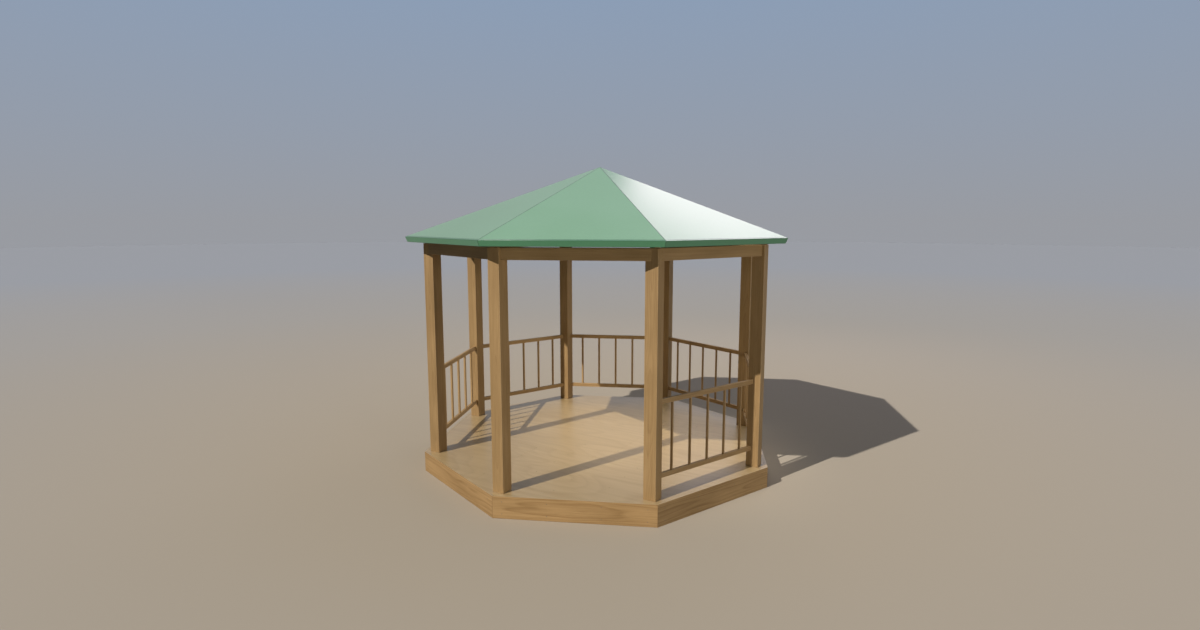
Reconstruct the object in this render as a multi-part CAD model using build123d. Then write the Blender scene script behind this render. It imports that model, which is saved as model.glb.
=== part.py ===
from build123d import *
from math import atan, cos, radians, sin, tan
import os

os.makedirs("parts", exist_ok=True)

# An eight-sided timber garden gazebo. The origin is on the ground under the
# middle of the floor, +Z is up, and the entrance corner faces -Y. A post
# stands at each corner of a regular octagon that has corners on both axes.

# Driving dimensions, in millimetres
side_count = 8
post_circle_radius = 1750.0  # middle of the floor to the middle of a post
post_side = 120.0
deck_height = 205.0  # ground to the top of the floor
deck_overrun = 144.0  # corner of the floor past the middle of the post
skirt_thickness = 28.0
floor_thickness = 25.0
joist_width = 45.0
joist_spacing = 400.0
clear_height = 2060.0  # floor to the underside of the ring beams
beam_width = 108.0
beam_depth = 105.0
rail_thickness = 28.0
rail_depth = 45.0
top_rail_height = 874.0  # floor to the top of the top rail
bottom_rail_gap = 165.0  # floor to the underside of the bottom rail
baluster_side = 20.0
baluster_count = 5
roof_rise = 718.0  # top edge of the eave to the tip of the roof
roof_thickness = 18.0
eave_overhang = 258.0  # corner of the eave past the middle of the post
fascia_depth = 56.0  # measured square to the roof, as the board is fixed
fascia_thickness = 20.0
rafter_width = 45.0
rafter_plumb_depth = 160.0
rafter_heel = 139.0  # rafter's upright depth over the middle of the post
tail_lift = 30.0  # underside of the rafter's tail above the top of the post
boss_margin = 6.5  # boss face past each cheek of its rafter
boss_drop = 30.0  # boss below the rafters' lower edges
boss_chamfer = 10.0

# The eight corners and the eight sides, in order from the front left corner
corner_names = ["front_left", "front", "front_right", "right",
                "back_right", "back", "back_left", "left"]
side_names = ["front_left", "front_right", "right_front", "right_back",
              "back_right", "back_left", "left_back", "left_front"]
open_sides = ["front_left", "front_right"]
railed_sides = [name for name in side_names if name not in open_sides]

# Places worked out from the driving dimensions
sector = 360.0 / side_count
half_sector = radians(sector / 2)
first_corner_angle = -135.0
deck_apothem = (post_circle_radius + deck_overrun) * cos(half_sector)
wall_apothem = post_circle_radius * cos(half_sector)
wall_length = 2 * post_circle_radius * sin(half_sector)
eave_radius = post_circle_radius + eave_overhang
eave_apothem = eave_radius * cos(half_sector)
hip_slope = roof_rise / eave_radius
face_slope = roof_rise / eave_apothem
pitch = atan(face_slope)
roof_plumb_thickness = roof_thickness / cos(pitch)
beam_bottom = deck_height + clear_height
post_top = beam_bottom + beam_depth
underside_over_post = post_top + rafter_heel
underside_tip = underside_over_post + hip_slope * post_circle_radius
roof_tip = underside_tip + roof_plumb_thickness
eave_top = roof_tip - roof_rise
boss_apothem = (rafter_width / 2 + boss_margin) / tan(half_sector)
reach = 2 * eave_radius  # longer than any piece, for stock that is cut back


def corner_angle(name):
    """Direction of a corner of the octagon, in degrees from +X."""
    return first_corner_angle + sector * corner_names.index(name)


def side_angle(name):
    """Direction of the middle of a side, in degrees from +X."""
    return first_corner_angle + sector * (side_names.index(name) + 0.5)


def octagon_block(apothem, low, high, turn=0.0):
    """Upright eight-sided block between two heights, corners on the axes."""
    outline = RegularPolygon(apothem, side_count, major_radius=False, rotation=turn)
    return Pos(0, 0, low) * extrude(outline, high - low)


def long_board(section):
    """Board of the given section, in distance outward and height, cut over-long."""
    return extrude(Plane.XZ * Polygon(*section, align=None), reach, both=True)


def sector_block():
    """The slice of the plan that belongs to the side facing +X."""
    half_width = reach * tan(half_sector)
    slice_outline = Polygon((0, 0), (reach, -half_width), (reach, half_width), align=None)
    return Pos(0, 0, -reach) * extrude(slice_outline, 2 * reach)


def mitred_board(section, side):
    """Board along one side, mitred at both ends against its neighbours."""
    return Rot(0, 0, side_angle(side)) * (long_board(section) & sector_block())


def roof_underside(outward):
    """Height of the underside of the roof, square out from the middle."""
    return underside_tip - face_slope * outward


def eave_point(back, down):
    """Point of the eave in distance outward and height.

    It is measured from the top edge of the eave, back up the slope of the
    roof and down square to it.
    """
    outward = eave_apothem - back * cos(pitch) - down * sin(pitch)
    height = eave_top + back * sin(pitch) - down * cos(pitch)
    return (outward, height)


def rafter_top(radius):
    """Height of the roof's underside along a hip."""
    return underside_tip - hip_slope * radius


def space_over_underside(angle):
    """All that lies above the underside of the roof on the side at an angle."""
    section = [(-reach, roof_underside(-reach)), (reach, roof_underside(reach)),
               (reach, roof_tip + reach), (-reach, roof_tip + reach)]
    return Rot(0, 0, angle) * long_board(section)


def space_past_roof_edge(angle):
    """All that lies past the back of the fascia on the side at an angle."""
    section = [eave_point(fascia_thickness, reach), eave_point(fascia_thickness, -reach),
               eave_point(-reach, -reach), eave_point(-reach, reach)]
    return Rot(0, 0, angle) * long_board(section)


def post(corner):
    """Square post from the floor to the top of the ring, square to the axes."""
    stock = Box(post_side, post_side, post_top - deck_height,
                align=(Align.CENTER, Align.CENTER, Align.MIN))
    centre = Rot(0, 0, corner_angle(corner)) * Pos(post_circle_radius, 0, deck_height)
    return Pos(*centre.position) * stock


def bar_between_posts(side, thickness, low, high):
    """Level bar from post to post along one side, scribed to both posts."""
    inner = wall_apothem - thickness / 2
    outer = wall_apothem + thickness / 2
    bar = mitred_board([(inner, low), (outer, low), (outer, high), (inner, high)], side)
    first = side_names.index(side)
    ends = [corner_names[first], corner_names[(first + 1) % side_count]]
    for corner in ends:
        bar = bar - post(corner)
    return bar


def skirt_board(side):
    """Board on edge round the deck, mitred at the corners."""
    inner = deck_apothem - skirt_thickness
    section = [(inner, 0), (deck_apothem, 0), (deck_apothem, deck_height), (inner, deck_height)]
    return mitred_board(section, side)


def floor():
    """Floor inside the skirt, flush with its top edge."""
    return octagon_block(deck_apothem - skirt_thickness, deck_height - floor_thickness, deck_height)


def floor_joists():
    """Joists on edge under the floor, each cut to length against the skirt."""
    top = deck_height - floor_thickness
    inside = octagon_block(deck_apothem - skirt_thickness, 0, top)
    corner_reach = (deck_apothem - skirt_thickness) / cos(half_sector)
    pairs = int((corner_reach - joist_width) // joist_spacing)
    stock = Box(joist_width, reach, top, align=(Align.CENTER, Align.CENTER, Align.MIN))
    places = [place * joist_spacing for place in range(-pairs, pairs + 1)]
    return [(Pos(place, 0, 0) * stock) & inside for place in places]


def ring_beam(side):
    """Beam from post to post under the roof."""
    return bar_between_posts(side, beam_width, beam_bottom, post_top)


def top_rail(side):
    """Handrail between two posts."""
    top = deck_height + top_rail_height
    return bar_between_posts(side, rail_thickness, top - rail_depth, top)


def bottom_rail(side):
    """Lower rail between two posts."""
    bottom = deck_height + bottom_rail_gap
    return bar_between_posts(side, rail_thickness, bottom, bottom + rail_depth)


def balusters(side):
    """Slender square balusters between the rails, evenly spaced, square to the axes."""
    low = deck_height + bottom_rail_gap + rail_depth
    high = deck_height + top_rail_height - rail_depth
    stock = Box(baluster_side, baluster_side, high - low,
                align=(Align.CENTER, Align.CENTER, Align.MIN))
    spacing = wall_length / (baluster_count + 1)
    bars = []
    for number in range(1, baluster_count + 1):
        along = number * spacing - wall_length / 2
        centre = Rot(0, 0, side_angle(side)) * Pos(wall_apothem, along, low)
        bars.append(Pos(*centre.position) * stock)
    return bars


def roof_panel(side):
    """Three-cornered roof panel, mitred along both hips."""
    section = [(0, roof_tip), eave_point(fascia_thickness, 0),
               eave_point(fascia_thickness, roof_thickness), (0, underside_tip)]
    return mitred_board(section, side)


def fascia_board(side):
    """Fascia along the eave, square to the roof and flush with its surface."""
    section = [eave_point(0, 0), eave_point(fascia_thickness, 0),
               eave_point(fascia_thickness, fascia_depth), eave_point(0, fascia_depth)]
    return mitred_board(section, side)


def hip_rafter(corner):
    """Hip rafter from the boss out over a post to the fascia.

    Its top is bevelled both ways under the two panels, it sits level on the
    post, and its tail is thinned to fit the corner behind the fascia.
    """
    lower_edge_at_boss = rafter_top(boss_apothem) - rafter_plumb_depth
    seat_start = post_circle_radius + (rafter_heel - rafter_plumb_depth) / hip_slope
    seat_end = post_circle_radius + post_side / 2
    section = [(boss_apothem, rafter_top(boss_apothem)), (eave_radius, rafter_top(eave_radius)),
               (eave_radius, post_top + tail_lift), (seat_end, post_top + tail_lift),
               (seat_end, post_top), (seat_start, post_top),
               (boss_apothem, lower_edge_at_boss)]
    outline = Plane.XZ * Polygon(*section, align=None)
    rafter = extrude(outline, rafter_width / 2, both=True)
    for angle in (-sector / 2, sector / 2):
        rafter = rafter - space_over_underside(angle) - space_past_roof_edge(angle)
    return Rot(0, 0, corner_angle(corner)) * rafter


def roof_boss():
    """Eight-sided boss that the rafters meet, pointed under the roof's tip."""
    bottom = rafter_top(boss_apothem) - rafter_plumb_depth - boss_drop
    boss = octagon_block(boss_apothem, bottom, roof_tip, turn=sector / 2)
    boss = chamfer(boss.faces().sort_by(Axis.Z)[0].edges(), boss_chamfer)
    for side in side_names:
        boss = boss - space_over_underside(side_angle(side))
    return boss


def write(name, solids):
    """One file for one named piece, or for like pieces that stay apart."""
    shape = solids[0] if len(solids) == 1 else Compound(children=solids)
    export_step(shape, f"parts/{name}.step")


write("floor", [floor()])
write("floor_joists", floor_joists())
for side in side_names:
    write(f"skirt_board_{side}", [skirt_board(side)])
for corner in corner_names:
    write(f"post_{corner}", [post(corner)])
for side in side_names:
    write(f"ring_beam_{side}", [ring_beam(side)])
for side in side_names:
    write(f"roof_panel_{side}", [roof_panel(side)])
write("fascia_boards_first_four", [fascia_board(side) for side in side_names[0::2]])
write("fascia_boards_other_four", [fascia_board(side) for side in side_names[1::2]])
write("hip_rafters", [hip_rafter(corner) for corner in corner_names])
write("roof_boss", [roof_boss()])
write("top_rails", [top_rail(side) for side in railed_sides])
write("bottom_rails", [bottom_rail(side) for side in railed_sides])
write("balusters", [bar for side in railed_sides for bar in balusters(side)])
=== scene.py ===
import math
import random

import bmesh
import bpy
from mathutils import Matrix, Vector


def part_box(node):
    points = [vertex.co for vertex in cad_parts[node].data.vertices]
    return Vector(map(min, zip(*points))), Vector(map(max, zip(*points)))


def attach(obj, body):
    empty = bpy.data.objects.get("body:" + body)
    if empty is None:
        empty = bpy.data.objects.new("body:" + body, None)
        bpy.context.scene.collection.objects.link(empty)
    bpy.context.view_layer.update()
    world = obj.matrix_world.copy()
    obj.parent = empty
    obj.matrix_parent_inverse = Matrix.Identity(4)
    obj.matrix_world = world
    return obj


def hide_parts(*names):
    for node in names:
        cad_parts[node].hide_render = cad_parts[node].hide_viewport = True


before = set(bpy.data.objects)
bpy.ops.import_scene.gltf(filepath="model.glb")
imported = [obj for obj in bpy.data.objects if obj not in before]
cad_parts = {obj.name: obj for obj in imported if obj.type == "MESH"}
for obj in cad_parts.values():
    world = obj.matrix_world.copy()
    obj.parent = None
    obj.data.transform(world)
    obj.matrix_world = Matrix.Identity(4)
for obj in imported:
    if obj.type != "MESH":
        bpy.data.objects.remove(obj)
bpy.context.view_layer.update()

# Floor joists. Sawn softwood on edge, nailed through the skirt boards and hidden
# under the floor. Like every timber piece here they are the CAD node's own shape,
# with rounded arrises and a stretch of grain of their own.

picker = random.Random(11)
WELD = 2e-5
FLAT_ANGLE = math.radians(0.5)
ARRIS_STEPS = 2
WORN_BAND = 0.004
WIDE_ENOUGH = 40 * WORN_BAND ** 2
LOG_LENGTH = 9.0
HEART_RANGE = (0.6, 1.4)

# A square or straight stick can lie in its log in several equal ways. This says which
# one each stick takes, as its number in ways_to_lie, so that every run gives the same.
WAYS_LAID = {
    "floor_joists": "111000011",
    "skirt_board_front_left": "1", "skirt_board_front_right": "1",
    "skirt_board_left_front": "1", "skirt_board_right_front": "0",
    "skirt_board_left_back": "1", "skirt_board_right_back": "1",
    "skirt_board_back_left": "1", "skirt_board_back_right": "0",
    "post_front": "4", "post_front_left": "5", "post_front_right": "5", "post_left": "4",
    "post_right": "4", "post_back_left": "5", "post_back_right": "1", "post_back": "4",
    "ring_beam_front_left": "3", "ring_beam_front_right": "2",
    "ring_beam_left_front": "3", "ring_beam_right_front": "2",
    "ring_beam_left_back": "0", "ring_beam_right_back": "3",
    "ring_beam_back_left": "0", "ring_beam_back_right": "1",
    "top_rails": "311120",
    "bottom_rails": "231122",
    "balusters": "546445744457544154445574465544",
    "hip_rafters": "23331010",
    "roof_boss": "4",
    "roof_panel_front_left": "1", "roof_panel_front_right": "0",
    "roof_panel_left_front": "1", "roof_panel_right_front": "0",
    "roof_panel_left_back": "1", "roof_panel_right_back": "1",
    "roof_panel_back_left": "1", "roof_panel_back_right": "0",
    "fascia_boards_first_four": "0000",
    "fascia_boards_other_four": "0000",
}


def sticks_of(shape):
    """The separate sticks in one mesh, each as its vertices and faces."""
    waiting = set(shape.verts)
    sticks = []
    while waiting:
        reached = {waiting.pop()}
        queue = list(reached)
        while queue:
            for edge in queue.pop().link_edges:
                for corner in edge.verts:
                    if corner in waiting:
                        waiting.discard(corner)
                        reached.add(corner)
                        queue.append(corner)
        faces = {face for corner in reached for face in corner.link_faces}
        sticks.append((reached, faces))
    return sorted(sticks, key=lambda stick: tuple(min(v.co[:] for v in stick[0])))


def ways_to_lie(faces):
    """The ways a stick can lie in its log: along a longest edge, out through a widest face."""
    edges = {edge for face in faces for edge in face.edges}
    length = max(round(edge.calc_length(), 4) for edge in edges)
    area = max(round(face.calc_area(), 5) for face in faces)
    widest = [face for face in faces if round(face.calc_area(), 5) == area]
    ways = {}
    for edge in edges:
        if round(edge.calc_length(), 4) < length:
            continue
        along = (edge.verts[1].co - edge.verts[0].co).normalized()
        for face in widest:
            through = (face.normal - face.normal.dot(along) * along).normalized()
            way = (*along, *through)
            rough = tuple(round(part, 3) + 0.0 for part in way)
            ways[rough] = min(way, ways.get(rough, way))
    return [(Vector(ways[rough][:3]), Vector(ways[rough][3:])) for rough in sorted(ways)]


def lay_grain(shape, heart, laid):
    """Writes each point's place in its own log: across, through and along."""
    place_in_log = shape.verts.layers.float_vector.new("grain")
    for (corners, faces), way in zip(sticks_of(shape), laid):
        ways = ways_to_lie(faces)
        along, through = ways[int(way) % len(ways)]
        across = along.cross(through)
        middle = sum((corner.co for corner in corners), Vector()) / len(corners)
        start = Vector((picker.uniform(-1, 1) * heart[0],
                        picker.uniform(*HEART_RANGE) * heart[1],
                        picker.uniform(0, LOG_LENGTH)))
        for corner in corners:
            offset = corner.co - middle
            in_log = Vector((offset.dot(across), offset.dot(through), offset.dot(along)))
            corner[place_in_log] = start + in_log


def cad_shape(node):
    """A CAD node's shape with its loose triangles joined into whole faces."""
    shape = bmesh.new()
    shape.from_mesh(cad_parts[node].data)
    bmesh.ops.remove_doubles(shape, verts=shape.verts, dist=WELD)
    bmesh.ops.dissolve_limit(shape, angle_limit=FLAT_ANGLE, verts=shape.verts, edges=shape.edges)
    return shape


def round_arrises(shape, arris, steps):
    """Rounds every edge of a shape by the same small amount."""
    return bmesh.ops.bevel(shape, geom=shape.edges[:], offset=arris, offset_type="OFFSET",
                           affect="EDGES", segments=steps, profile=0.5,
                           material=-1, clamp_overlap=True)


def made_piece(name, shape):
    """An object with the shape as its mesh, riding on the body."""
    mesh = bpy.data.meshes.new(name)
    shape.to_mesh(mesh)
    shape.free()
    piece = bpy.data.objects.new(name, mesh)
    bpy.context.scene.collection.objects.link(piece)
    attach(piece, "root")
    return piece


def planed(node, arris, heart):
    """A planed copy of a CAD node, which it replaces."""
    shape = cad_shape(node)
    rounded = set(round_arrises(shape, arris, ARRIS_STEPS)["faces"])
    wide = [face for face in shape.faces if face not in rounded and face.calc_area() > WIDE_ENOUGH]
    bmesh.ops.inset_individual(shape, faces=wide, thickness=WORN_BAND, use_even_offset=True)
    worn = shape.verts.layers.float.new("worn")
    for corner in shape.verts:
        corner[worn] = 1.0
    for face in wide:
        for corner in face.verts:
            corner[worn] = 0.0
    lay_grain(shape, heart, WAYS_LAID[node])
    for face in shape.faces:
        face.smooth = face in rounded
    piece = made_piece(node + "_planed", shape)
    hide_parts(node)
    return piece


def add_node(tree, kind, wires, **settings):
    """One shader node, its settings, and what each of its sockets is given."""
    made = tree.nodes.new("ShaderNode" + kind)
    for setting, value in settings.items():
        setattr(made, setting, value)
    for socket, value in wires.items():
        if isinstance(value, bpy.types.NodeSocket):
            tree.links.new(value, made.inputs[socket])
        else:
            made.inputs[socket].default_value = value
    return made


def worked_out(tree, operation, *values):
    """One step of arithmetic on numbers and values."""
    return add_node(tree, "Math", dict(enumerate(values)), operation=operation).outputs["Value"]


def worked_place(tree, operation, *values):
    """One step of arithmetic on places."""
    return add_node(tree, "VectorMath", dict(enumerate(values)), operation=operation).outputs["Vector"]


def spread_over(tree, value, low, high):
    """A value from 0 to 1 spread between two limits."""
    return add_node(tree, "MapRange", {"Value": value, "To Min": low, "To Max": high}).outputs["Result"]


def drawn_out_noise(tree, place, stretch, detail):
    """Noise that runs long where the stretch is small, as on fibres."""
    drawn = add_node(tree, "Mapping", {"Vector": place, "Scale": stretch}).outputs["Vector"]
    return add_node(tree, "TexNoise", {"Vector": drawn, "Scale": 1.0, "Detail": detail})


def colour_steps(tree, source, steps):
    """A colour ramp fed by a value, with its stops as place and colour."""
    ramp = add_node(tree, "ValToRGB", {0: source})
    stops = ramp.color_ramp.elements
    while len(stops) < len(steps):
        stops.new(0.5)
    for stop, (place, colour) in zip(stops, steps):
        stop.position = place
        stop.color = (*colour, 1)
    return ramp.outputs["Color"]


def grey_steps(tree, source, steps):
    """The same ramp in greys, with its stops as place and level."""
    return colour_steps(tree, source, [(place, (level,) * 3) for place, level in steps])


def raised(tree, height, strength, reach):
    """Relief from a height, up to a reach in metres."""
    wires = {"Height": height, "Strength": strength, "Distance": reach}
    return add_node(tree, "Bump", wires).outputs["Normal"]


def mixed(tree, share, first, second, blend_type="MIX"):
    """Two colours laid over each other."""
    wires = {"Fac": share, "Color1": first, "Color2": second}
    return add_node(tree, "MixRGB", wires, blend_type=blend_type).outputs["Color"]


def linear(red, green, blue):
    """A colour given as screen values from 0 to 255, made linear."""
    parts = [part / 255 for part in (red, green, blue)]
    return tuple(part / 12.92 if part <= 0.04045 else ((part + 0.055) / 1.055) ** 2.4 for part in parts)


def empty_finish(name):
    """A material with no nodes yet, and its tree."""
    made = bpy.data.materials.new(name)
    made.use_nodes = True
    made.node_tree.nodes.clear()
    return made, made.node_tree


def close_finish(tree, **surface_values):
    """Gives the finish its surface, from the names of the shader's sockets."""
    wires = {name.replace("_", " "): value for name, value in surface_values.items()}
    surface = add_node(tree, "BsdfPrincipled", wires)
    add_node(tree, "OutputMaterial", {"Surface": surface.outputs["BSDF"]})


WANDER_STRETCH = (5.0, 5.0, 0.7)  # noise per metre: across, through and along the log
WANDER_REACH = (0.07, 0.07, 0.0)
RING_STEPS = [(0.0, 0.05), (0.5, 0.25), (0.86, 1.0), (1.0, 0.05)]  # pale spring wood, dark summer wood
STREAK_STRETCH = (110.0, 110.0, 1.6)
STREAK_SHARE = 0.85
FIBRE_STRETCH = (900.0, 900.0, 18.0)
FIBRE_SHARE = 0.30
BLOTCH_STRETCH = (9.0, 9.0, 2.2)
BLOTCH_STEPS = [(0.3, (0.86, 0.84, 0.80)), (0.7, (1.08, 1.08, 1.10))]
WOOD_IOR = 1.45


def softwood(name, pale, dark, rubbed_tone, ring_width, ring_share, rough):
    """Planed softwood cut from a log: growth rings, fibres, blotches, rubbed arrises."""
    made, tree = empty_finish(name)
    log = add_node(tree, "Attribute", {}, attribute_name="grain").outputs["Vector"]
    drift = drawn_out_noise(tree, log, WANDER_STRETCH, detail=2.0).outputs["Color"]
    centred = worked_place(tree, "SUBTRACT", drift, (0.5, 0.5, 0.5))
    wander = worked_place(tree, "MULTIPLY", centred, WANDER_REACH)
    bent = worked_place(tree, "ADD", log, wander)
    flat = worked_place(tree, "MULTIPLY", bent, (1.0, 1.0, 0.0))
    radius = add_node(tree, "VectorMath", {0: flat}, operation="LENGTH").outputs["Value"]
    year = worked_out(tree, "FRACT", worked_out(tree, "DIVIDE", radius, ring_width))
    ring = grey_steps(tree, year, RING_STEPS)
    streaks = drawn_out_noise(tree, log, STREAK_STRETCH, detail=4.0).outputs["Fac"]
    fibres = drawn_out_noise(tree, log, FIBRE_STRETCH, detail=2.0).outputs["Fac"]
    blotches = drawn_out_noise(tree, log, BLOTCH_STRETCH, detail=3.0).outputs["Fac"]
    ringed = worked_out(tree, "MULTIPLY", ring, ring_share)
    streaked = worked_out(tree, "MULTIPLY_ADD", streaks, STREAK_SHARE, ringed)
    depth = worked_out(tree, "MULTIPLY_ADD", fibres, FIBRE_SHARE, streaked)
    level = add_node(tree, "MapRange", {"Value": depth, "From Min": 0.25, "From Max": 1.15}).outputs["Result"]
    body = colour_steps(tree, level, [(0.0, pale), (1.0, dark)])
    tone = colour_steps(tree, blotches, BLOTCH_STEPS)
    mottled = mixed(tree, 1.0, body, tone, "MULTIPLY")
    edge = add_node(tree, "Attribute", {}, attribute_name="worn").outputs["Fac"]
    rub = worked_out(tree, "MULTIPLY", edge, blotches)
    finish = mixed(tree, rub, mottled, (*rubbed_tone, 1))
    sheen = spread_over(tree, fibres, low=rough - 0.08, high=rough + 0.10)
    relief = raised(tree, depth, strength=0.35, reach=0.0008)
    close_finish(tree, Base_Color=finish, Roughness=sheen, Normal=relief, IOR=WOOD_IOR)
    return made


sawn_wood = softwood("sawn_joist_wood", pale=linear(170, 140, 96), dark=linear(124, 94, 58),
                     rubbed_tone=linear(120, 94, 62), ring_width=0.005, ring_share=0.30, rough=0.80)
joists = planed("floor_joists", arris=0.001, heart=(0.05, 0.06))
joists.data.materials.append(sawn_wood)

# Floor. Six sheets of rotary-cut plywood laid tight on the joists inside
# the skirt, face grain from left to right, sanded and oiled. Their tone is paler
# than the posts' timber: partly the plywood's own colour, partly painted light
# from above on the up-facing floor.

FAR_OUT = 9.0  # well past the edge of the deck
ROW_EDGE = 0.6
END_JOINT = 0.4
SHEET_ROWS = [(-FAR_OUT, -ROW_EDGE, -END_JOINT),  # front edge, back edge and end joint of each row
              (-ROW_EDGE, ROW_EDGE, END_JOINT),
              (ROW_EDGE, FAR_OUT, -END_JOINT)]
SHEET_ARRIS = 0.0006
SWELL_STRETCH = (0.45, 1.5, 1.0)
FLAME_COUNT = 15.0
FLAME_LEAN = 4.0
FLAME_STEPS = [(0.0, 0.1), (0.55, 0.4), (0.8, 1.0), (1.0, 0.1)]
FLAME_SHARE = 0.22
VENEER_STREAK_STRETCH = (1.1, 17.0, 1.0)
VENEER_STREAK_SHARE = 0.75
VENEER_FIBRE_STRETCH = (6.0, 300.0, 1.0)
VENEER_FIBRE_SHARE = 0.35


def plywood(name, pale, dark):
    """Rotary-cut veneer: a broad flame figure along X, fine fibres, clear oil."""
    made, tree = empty_finish(name)
    place = add_node(tree, "TexCoord", {}).outputs["Object"]
    slow = add_node(tree, "Mapping", {"Vector": place, "Scale": SWELL_STRETCH}).outputs["Vector"]
    swell = add_node(tree, "TexNoise", {"Vector": slow, "Scale": 1.0, "Detail": 1.5, "Distortion": 0.3})
    apart = add_node(tree, "SeparateXYZ", {0: place})
    lean = worked_out(tree, "MULTIPLY", apart.outputs["Y"], FLAME_LEAN)
    rise = worked_out(tree, "MULTIPLY_ADD", swell.outputs["Fac"], FLAME_COUNT, lean)
    band = worked_out(tree, "FRACT", rise)
    flame = grey_steps(tree, band, FLAME_STEPS)
    fibres = drawn_out_noise(tree, place, VENEER_FIBRE_STRETCH, detail=4.0).outputs["Fac"]
    streaks = drawn_out_noise(tree, place, VENEER_STREAK_STRETCH, detail=4.0).outputs["Fac"]
    figured = worked_out(tree, "MULTIPLY", flame, FLAME_SHARE)
    streaked = worked_out(tree, "MULTIPLY_ADD", streaks, VENEER_STREAK_SHARE, figured)
    depth = worked_out(tree, "MULTIPLY_ADD", fibres, VENEER_FIBRE_SHARE, streaked)
    level = add_node(tree, "MapRange", {"Value": depth, "From Min": 0.30, "From Max": 1.0}).outputs["Result"]
    body = colour_steps(tree, level, [(0.0, pale), (1.0, dark)])
    sheen = spread_over(tree, fibres, low=0.36, high=0.52)
    relief = raised(tree, depth, strength=0.2, reach=0.0005)
    close_finish(tree, Base_Color=body, Roughness=sheen, Normal=relief, IOR=WOOD_IOR,
                 Coat_Weight=1.0, Coat_Roughness=0.32)
    return made


def saw_off(sheet, place, outward):
    """Saws off what lies past a plane and closes the cut."""
    stock = sheet.verts[:] + sheet.edges[:] + sheet.faces[:]
    sawn = bmesh.ops.bisect_plane(sheet, geom=stock, plane_co=place, plane_no=outward, clear_outer=True)
    rim = [item for item in sawn["geom_cut"] if isinstance(item, bmesh.types.BMEdge)]
    if rim:
        bmesh.ops.contextual_create(sheet, geom=rim)


# The floor's pale tone is partly the plywood's own colour and partly painted light from above.
floor_wood_with_painted_top_light = plywood("floor_plywood_with_painted_top_light", pale=linear(184, 158, 116), dark=linear(157, 130, 87))
whole_floor = cad_shape("floor")
sheets = bmesh.new()
for front, back, end in SHEET_ROWS:
    for hand in (-1, 1):
        sheet = whole_floor.copy()
        saw_off(sheet, (0, front, 0), (0, -1, 0))
        saw_off(sheet, (0, back, 0), (0, 1, 0))
        saw_off(sheet, (end, 0, 0), (-hand, 0, 0))
        round_arrises(sheet, SHEET_ARRIS, 1)
        one_sheet = bpy.data.meshes.new("one_sheet")
        sheet.to_mesh(one_sheet)
        sheets.from_mesh(one_sheet)
        sheet.free()
        bpy.data.meshes.remove(one_sheet)
whole_floor.free()
floor = made_piece("floor_sheets", sheets)
floor.data.materials.append(floor_wood_with_painted_top_light)
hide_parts("floor")

# Floor screws. Zinc-plated countersunk wood screws in a row along every joist,
# their heads just proud of the plywood, none under a post or off the edge.

HEAD_RADIUS = 0.0042
HEAD_TAPER = 0.0004
HEAD_PROUD = 0.0007
HEAD_SUNK = 0.0012
HEAD_SIDES = 12
SOCKET_RIM = 0.0017
SOCKET_WALL = 0.0002
SOCKET_DEPTH = 0.0005
JOIST_PITCH = 0.4
JOISTS_EACH_SIDE = 4
SCREW_PITCH = 0.3
SCREWS_EACH_WAY = 6
SCREW_SHIFT = 0.02
EDGE_MARGIN = 0.05
POST_MARGIN = 0.02
JOINT_MARGIN = 0.03
STEP_ASIDE = 0.04
STAIN_SCALE = 900.0


def even_noise(tree, place, scale, detail):
    """Noise of the same size every way, as a value from 0 to 1."""
    return add_node(tree, "TexNoise", {"Vector": place, "Scale": scale, "Detail": detail}).outputs["Fac"]


def dull_steel(name):
    """Zinc plating gone grey: uneven tone and roughness."""
    made, tree = empty_finish(name)
    place = add_node(tree, "TexCoord", {}).outputs["Object"]
    stain = even_noise(tree, place, STAIN_SCALE, detail=3.0)
    body = colour_steps(tree, stain, [(0.3, linear(150, 143, 130)), (0.7, linear(112, 104, 90))])
    dullness = spread_over(tree, stain, low=0.45, high=0.70)
    relief = raised(tree, stain, strength=0.2, reach=0.0001)
    close_finish(tree, Base_Color=body, Roughness=dullness, Normal=relief, Metallic=0.8)
    return made


def screw_heads(name, places, finish):
    """Countersunk screw heads with a driver socket, each at a point and facing outward."""
    heads = bmesh.new()
    for point, facing in places:
        outward = Vector(facing)
        turn = outward.to_track_quat("Z", "Y").to_matrix().to_4x4()
        seat = Matrix.Translation(Vector(point) + outward * (HEAD_PROUD - HEAD_SUNK) / 2) @ turn
        head = bmesh.ops.create_cone(heads, cap_ends=True, segments=HEAD_SIDES, radius1=HEAD_RADIUS,
                                     radius2=HEAD_RADIUS - HEAD_TAPER, depth=HEAD_PROUD + HEAD_SUNK,
                                     matrix=seat)
        around = {face for corner in head["verts"] for face in corner.link_faces}
        top = [max(around, key=lambda face: face.normal.dot(outward))]
        bmesh.ops.inset_individual(heads, faces=top, thickness=SOCKET_RIM)
        bmesh.ops.inset_individual(heads, faces=top, thickness=SOCKET_WALL, depth=-SOCKET_DEPTH)
    bmesh.ops.recalc_face_normals(heads, faces=heads.faces)
    piece = made_piece(name, heads)
    piece.data.materials.append(finish)


steel = dull_steel("dull_steel")
floor_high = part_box("floor")[1]
post_boxes = [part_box(node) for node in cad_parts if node.startswith("post_")]
SIDES = ["front_left", "front_right", "right_front", "right_back",
         "back_right", "back_left", "left_back", "left_front"]
SECTOR = math.radians(45)
FIRST_SIDE_TURN = math.radians(-112.5)
side_turns = [FIRST_SIDE_TURN + number * SECTOR for number in range(len(SIDES))]
side_facings = [Vector((math.cos(turn), math.sin(turn), 0)) for turn in side_turns]
floor_apothem = floor_high[1] * math.cos(SECTOR / 2)


def off_the_edge(spot):
    """Whether a screw would miss the floor or split its edge."""
    return max(spot.dot(facing) for facing in side_facings) > floor_apothem - EDGE_MARGIN


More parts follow.
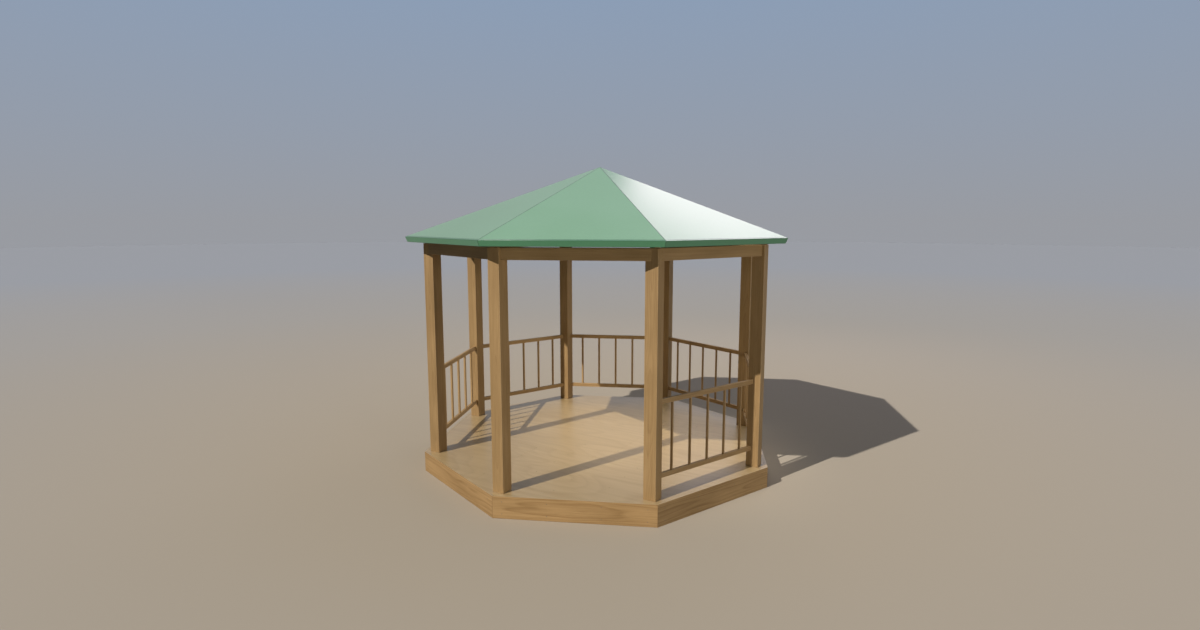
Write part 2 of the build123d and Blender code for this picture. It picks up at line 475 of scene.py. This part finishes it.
def under_a_post(spot):
    """Whether a post stands where a screw would be."""
    return any(low[0] - POST_MARGIN < spot.x < high[0] + POST_MARGIN
               and low[1] - POST_MARGIN < spot.y < high[1] + POST_MARGIN
               for low, high in post_boxes)


def near_a_joint(spot):
    """Whether a screw would sit in the joint between two rows of sheets."""
    return min(abs(spot.y - front) for front, back, end in SHEET_ROWS) < JOINT_MARGIN


places = []
for row in range(-JOISTS_EACH_SIDE, JOISTS_EACH_SIDE + 1):
    for step in range(-SCREWS_EACH_WAY, SCREWS_EACH_WAY + 1):
        spot = Vector((row * JOIST_PITCH, step * SCREW_PITCH - SCREW_SHIFT, floor_high[2]))
        if off_the_edge(spot) or under_a_post(spot):
            continue
        if near_a_joint(spot):
            spot.y -= STEP_ASIDE
        places.append((spot, (0, 0, 1)))
screw_heads("floor_screws", places, steel)

# Skirt boards. Planed boards on edge round the deck, mitred where they meet at
# the eight corners and screwed to the joists. Their top edges are sanded and
# oiled with the floor and take its finish, whose paler tone is partly painted
# light from above.

SKIRT_THICKNESS = 0.028
SKIRT_SCREWS_ALONG = [-0.64, -0.24, 0.24, 0.64]
SKIRT_SCREWS_UP = [0.045, 0.155]
FACES_UP = 0.7

skirt_wood = softwood("skirt_wood", pale=linear(184, 149, 101), dark=linear(138, 105, 62),
                      rubbed_tone=linear(140, 110, 72), ring_width=0.010, ring_share=0.36, rough=0.62)
deck_apothem = floor_apothem + SKIRT_THICKNESS
places = []
for side, facing in zip(SIDES, side_facings):
    skirt = planed("skirt_board_" + side, arris=0.0015, heart=(0.05, 0.16))
    skirt.data.materials.append(skirt_wood)
    skirt.data.materials.append(floor_wood_with_painted_top_light)
    # Faces that point up get the floor's finish, which is paler partly as painted light from above.
    for face in skirt.data.polygons:
        if face.normal.z > FACES_UP:
            face.material_index = 1
    along = Vector((-facing.y, facing.x, 0))
    for reach in SKIRT_SCREWS_ALONG:
        for height in SKIRT_SCREWS_UP:
            places.append((facing * deck_apothem + along * reach + Vector((0, 0, height)), facing))
screw_heads("skirt_screws", places, steel)

# Posts. Eight square posts with the heart of the log boxed in them, planed and
# oiled, standing on the floor and all set square to the axes.

CORNERS = ["front_left", "front", "front_right", "right",
           "back_right", "back", "back_left", "left"]
frame_wood = softwood("frame_wood", pale=linear(172, 140, 95), dark=linear(132, 103, 63),
                      rubbed_tone=linear(174, 144, 102), ring_width=0.0055, ring_share=0.24, rough=0.60)
for corner in CORNERS:
    post = planed("post_" + corner, arris=0.003, heart=(0.02, 0.02))
    post.data.materials.append(frame_wood)

# Ring beams. Heavy beams of the same planed and oiled timber from post to post
# under the roof, their ends scribed round the posts.

for side in SIDES:
    beam = planed("ring_beam_" + side, arris=0.002, heart=(0.04, 0.06))
    beam.data.materials.append(frame_wood)

# Railings. A top and a bottom rail between the posts of the six railed bays,
# and five slender square balusters in each, planed and oiled.

rail_wood = softwood("rail_wood", pale=linear(180, 147, 101), dark=linear(138, 107, 66),
                     rubbed_tone=linear(186, 156, 114), ring_width=0.006, ring_share=0.26, rough=0.56)
for node, arris in (("top_rails", 0.003), ("bottom_rails", 0.002), ("balusters", 0.0015)):
    sticks = planed(node, arris, heart=(0.03, 0.05))
    sticks.data.materials.append(rail_wood)

# Roof frame. Eight hip rafters of planed softwood that lean on an eight-sided
# boss at the top, sit level on the posts and end behind the fascia.

rafter_wood = softwood("rafter_wood", pale=linear(178, 145, 99), dark=linear(136, 105, 64),
                       rubbed_tone=linear(150, 120, 80), ring_width=0.005, ring_share=0.30, rough=0.70)
for node in ("hip_rafters", "roof_boss"):
    timbers = planed(node, arris=0.0015, heart=(0.05, 0.06))
    timbers.data.materials.append(rafter_wood)

# Roof. Eight three-cornered panels of exterior plywood, mitred on the hips,
# screwed to the rafters and painted green in gloss once in place. Their green is
# set paler than the fascia's, though it is the same paint: the extra paleness is
# painted reflection of the bright sky on the sloping faces.

PATCH_SCALE = 1.3
SPECK_SCALE = 60.0
SPECK_STEPS = [(0.3, 0.96), (0.7, 1.03)]
STIPPLE_SCALE = 420.0
PAINT_IOR = 1.5


def gloss_paint(name, colour, faded, joint_dirt, rough):
    """Gloss paint rolled on boards: faint stipple, faded patches, dirt in the joints."""
    made, tree = empty_finish(name)
    place = add_node(tree, "TexCoord", {}).outputs["Object"]
    broad = even_noise(tree, place, PATCH_SCALE, detail=3.0)
    fine = even_noise(tree, place, SPECK_SCALE, detail=3.0)
    stipple = even_noise(tree, place, STIPPLE_SCALE, detail=2.0)
    body = colour_steps(tree, broad, [(0.35, colour), (0.7, faded)])
    speck = grey_steps(tree, fine, SPECK_STEPS)
    coat = mixed(tree, 1.0, body, speck, "MULTIPLY")
    edge = add_node(tree, "Attribute", {}, attribute_name="worn").outputs["Fac"]
    dirt = add_node(tree, "MapRange", {"Value": fine, "From Min": 0.2, "From Max": 0.7,
                                       "To Min": 0.45, "To Max": 1.0}).outputs["Result"]
    grime = worked_out(tree, "MULTIPLY", edge, dirt)
    finish = mixed(tree, grime, coat, (*joint_dirt, 1))
    sheen = spread_over(tree, broad, low=rough - 0.04, high=rough + 0.06)
    relief = raised(tree, stipple, strength=0.08, reach=0.0003)
    close_finish(tree, Base_Color=finish, Roughness=sheen, Normal=relief, IOR=PAINT_IOR,
                 Coat_Weight=1.0, Coat_Roughness=0.28)
    return made


# The roof's green is paler than the fascia's same paint: painted reflection of the sky on the sloping roof.
roof_paint_with_painted_reflection = gloss_paint("roof_paint_with_painted_reflection", colour=linear(124, 169, 132), faded=linear(129, 172, 138),
                         joint_dirt=linear(48, 75, 57), rough=0.38)
for side in SIDES:
    panel = planed("roof_panel_" + side, arris=0.002, heart=(0.05, 0.06))
    panel.data.materials.append(roof_paint_with_painted_reflection)

# Fascia boards. Eight planed boards along the eave, mitred at the corners and
# nailed square to the roof on the rafter tails, in the same green gloss as the
# roof, which looks paler only because its colour carries painted sky reflection.

eave_paint = gloss_paint("eave_paint", colour=linear(80, 139, 99), faded=linear(85, 144, 105),
                         joint_dirt=linear(58, 96, 70), rough=0.36)
for node in ("fascia_boards_first_four", "fascia_boards_other_four"):
    fascia = planed(node, arris=0.0015, heart=(0.05, 0.06))
    fascia.data.materials.append(eave_paint)

# Studio floor and backdrop. A wide pale matt floor, sandy near by and grey far
# off, under a backdrop that goes from grey to blue. The backdrop's own light is
# soft and comes mostly from behind.

STUDIO_RADIUS = 80
STUDIO_SIDES = 96
NEAR_BY = 3.0
FAR_OFF = 32.0
FLOOR_STEPS = [(0.0, (0.405, 0.345, 0.270)), (0.35, (0.372, 0.350, 0.328)), (1.0, (0.336, 0.348, 0.380))]
FLOOR_FOR_BOUNCES = (0.24, 0.23, 0.215, 1)
BACKDROP_STEPS = [(0.0, (0.318, 0.329, 0.358)), (0.12, (0.295, 0.335, 0.405)),
                  (0.30, (0.262, 0.340, 0.465)), (0.8, (0.22, 0.29, 0.42))]
LIGHT_STEPS = [(0.0, (0.36, 0.355, 0.345)), (0.25, (0.30, 0.31, 0.34)), (0.8, (0.24, 0.28, 0.35))]
TOWARD_BACK = (0.38, 0.92, 0.0)

ground_shape = bmesh.new()
bmesh.ops.create_circle(ground_shape, cap_ends=True, segments=STUDIO_SIDES, radius=STUDIO_RADIUS)
ground_mesh = bpy.data.meshes.new("studio_floor")
ground_shape.to_mesh(ground_mesh)
ground_shape.free()
ground = bpy.data.objects.new("studio_floor", ground_mesh)
bpy.context.scene.collection.objects.link(ground)
pale = bpy.data.materials.new("studio_floor_pale")
pale.use_nodes = True
tree = pale.node_tree
spot_on_floor = add_node(tree, "TexCoord", {}).outputs["Object"]
from_middle = add_node(tree, "VectorMath", {0: spot_on_floor}, operation="LENGTH").outputs["Value"]
distance = add_node(tree, "MapRange", {"Value": from_middle, "From Min": NEAR_BY, "From Max": FAR_OFF})
floor_tint = colour_steps(tree, distance.outputs["Result"], FLOOR_STEPS)
straight = add_node(tree, "LightPath", {}).outputs["Is Camera Ray"]
shown = mixed(tree, straight, FLOOR_FOR_BOUNCES, floor_tint)
pale_surface = tree.nodes["Principled BSDF"].inputs
tree.links.new(shown, pale_surface["Base Color"])
pale_surface["Roughness"].default_value = 0.9
pale_surface["Specular IOR Level"].default_value = 0.0
ground.data.materials.append(pale)

world = bpy.data.worlds.new("studio_light")
bpy.context.scene.world = world
world.use_nodes = True
sky = world.node_tree
sky.nodes.clear()
direction = add_node(sky, "TexCoord", {}).outputs["Generated"]
height = add_node(sky, "SeparateXYZ", {0: direction}).outputs["Z"]
backdrop_tint = colour_steps(sky, height, BACKDROP_STEPS)
seen = add_node(sky, "Background", {"Color": backdrop_tint, "Strength": 1.0}).outputs["Background"]
light_tint = colour_steps(sky, height, LIGHT_STEPS)
to_back = add_node(sky, "VectorMath", {0: direction, 1: TOWARD_BACK}, operation="DOT_PRODUCT")
screened = add_node(sky, "MapRange", {"Value": to_back.outputs["Value"], "From Min": -0.6, "From Max": 0.9,
                                      "To Min": 0.1, "To Max": 1.7}).outputs["Result"]
cast = add_node(sky, "Background", {"Color": light_tint, "Strength": screened}).outputs["Background"]
backdrop = add_node(sky, "LightPath", {}).outputs["Is Camera Ray"]
glow = add_node(sky, "MixShader", {0: backdrop, 1: cast, 2: seen}).outputs["Shader"]
add_node(sky, "OutputWorld", {"Surface": glow})

# Studio lights. A hard key light from the front left, a broad light behind that
# shines on the right of the roof, a low warm fill light from the right, and the
# light that the sunlit deck throws about under the roof.

KEY_FROM = Vector((-0.266, -0.718, 0.643)) * 12


def lamp(name, kind, place, aim, power, size, colour):
    """A light at a place, pointing at another."""
    light = bpy.data.lights.new(name, kind)
    light.energy = power
    light.color = colour
    if kind == "SUN":
        light.angle = size
    else:
        light.shape = "RECTANGLE"
        light.size, light.size_y = size
    made = bpy.data.objects.new(name, light)
    made.location = place
    made.rotation_euler = (Vector(aim) - Vector(place)).to_track_quat("-Z", "Y").to_euler()
    made.visible_camera = False
    bpy.context.scene.collection.objects.link(made)
    return light


lamp("key_light", "SUN", place=KEY_FROM, aim=(0, 0, 0),
     power=3.7, size=math.radians(0.6), colour=(1.0, 0.97, 0.92))
lamp("back_light", "AREA", place=(-0.5, 8.2, 7.0), aim=(1.1, -0.5, 2.7),
     power=86, size=(4.5, 2.4), colour=(1.0, 0.86, 0.94))
lamp("fill_light", "SUN", place=(9.2, -3.8, 1.75), aim=(0, 0, 1.2),
     power=0.80, size=math.radians(10), colour=(1.0, 0.95, 0.80))
bounce = lamp("roof_bounce", "AREA", place=(0.3, 0.2, 2.34), aim=(0.45, 0.3, 0),
              power=10, size=(2.4, 2.4), colour=(1.0, 0.93, 0.82))
bounce.spread = math.radians(52)

# Camera. It stands to the right of the entrance corner, well above a person's
# eyes, and looks slightly down, as in the photograph.

CAMERA_TURN = math.radians(29.97)
CAMERA_DISTANCE = 7.286
CAMERA_HEIGHT = 2.597
CAMERA_DIP = math.radians(7.975)
PHOTO_WIDTH = 1200
FOCAL_PIXELS = 676.0
SENSOR_WIDTH = 36.0

camera_data = bpy.data.cameras.new("photo_camera")
camera_data.sensor_width = SENSOR_WIDTH
camera_data.lens = SENSOR_WIDTH * FOCAL_PIXELS / PHOTO_WIDTH
camera = bpy.data.objects.new("photo_camera", camera_data)
camera.location = (CAMERA_DISTANCE * math.sin(CAMERA_TURN),
                   -CAMERA_DISTANCE * math.cos(CAMERA_TURN),
                   CAMERA_HEIGHT)
camera.rotation_euler = (math.radians(90) - CAMERA_DIP, 0, CAMERA_TURN)
bpy.context.scene.collection.objects.link(camera)
bpy.context.scene.camera = camera
bpy.context.scene.view_settings.view_transform = "Standard"
